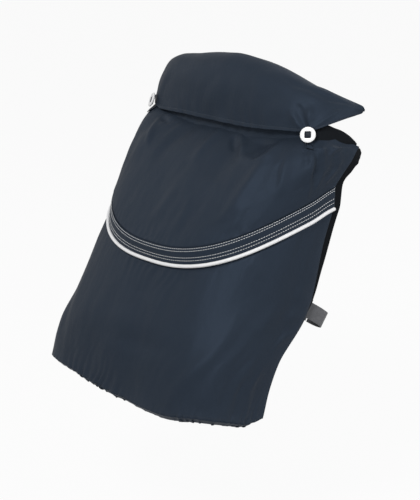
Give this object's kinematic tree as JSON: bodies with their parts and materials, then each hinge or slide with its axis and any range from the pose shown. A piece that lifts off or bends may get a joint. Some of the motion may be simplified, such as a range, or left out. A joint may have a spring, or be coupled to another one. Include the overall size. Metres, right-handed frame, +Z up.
{
  "type": "pushchair leg cover",
  "caption": "Fabric leg cover that hangs from a pushchair's bumper bar, with a fold-over flap, ring buttons, a piped band, an elastic hem and side straps.",
  "frame": {"origin": "centre line of the bumper bar that the cover hangs on, at mid width", "axes": "+Z up, -Y is the cover's front, +X the child's left"},
  "size_m": [0.4252, 0.3475, 0.513],
  "materials": {
    "navy_polyester": "smooth woven, slight satin",
    "dark_lining": "matt woven",
    "white_piping": "smooth piping",
    "white_plastic": "satin moulded",
    "navy_plastic": "matt moulded",
    "steel": "pressed snap",
    "grey_webbing": "loop tape",
    "hook_tape": "hook tape",
    "elastic": "knitted elastic"
  },
  "bodies": {
    "cover": {"upper_panel": "navy_polyester", "trim_band": "navy_polyester", "piping": "white_piping", "lower_panel": "navy_polyester", "lining": "dark_lining", "bar_wrap": "navy_polyester", "bar_facing": "navy_polyester", "edge_facing_left": "dark_lining", "edge_facing_right": "dark_lining", "hem_casing": "navy_polyester", "hem_elastic": "elastic", "stitched_tab_left": "navy_polyester", "stitched_tab_right": "navy_polyester", "snap_stud_left": "steel", "snap_stud_right": "steel", "strap_anchor_left": "dark_lining", "strap_anchor_right": "dark_lining", "strap_loop_left": "grey_webbing", "strap_loop_right": "grey_webbing", "loop_pad_left": "grey_webbing", "loop_pad_right": "grey_webbing"},
    "flap": {"flap_outer": "navy_polyester", "flap_lining": "dark_lining", "flap_hem": "navy_polyester", "button_tongue_left": "navy_polyester", "button_tongue_right": "navy_polyester", "snap_socket_left": "steel", "snap_socket_right": "steel", "button_core_left": "navy_plastic", "button_core_right": "navy_plastic", "ring_button_left": "white_plastic", "ring_button_right": "white_plastic"},
    "strap_tail_left": {"strap_tail_left": "grey_webbing", "hook_pad_left": "hook_tape"},
    "strap_tail_right": {"strap_tail_right": "grey_webbing", "hook_pad_right": "hook_tape"}
  },
  "joints": [
    {"name": "flap_hinge", "type": "hinge", "parent": "cover", "child": "flap", "pos_m": [0, 0.064, -0.044], "axis": [-1, 0, 0], "range_deg": [0, 90]},
    {"name": "strap_peel_left", "type": "hinge", "parent": "cover", "child": "strap_tail_left", "pos_m": [0.1781, -0.0204, -0.3577], "axis": [0, -0.5959, -0.8031], "range_deg": [0, 110]},
    {"name": "strap_peel_right", "type": "hinge", "parent": "cover", "child": "strap_tail_right", "pos_m": [-0.1781, -0.0204, -0.3577], "axis": [0, 0.5959, 0.8031], "range_deg": [0, 110]}
  ]
}
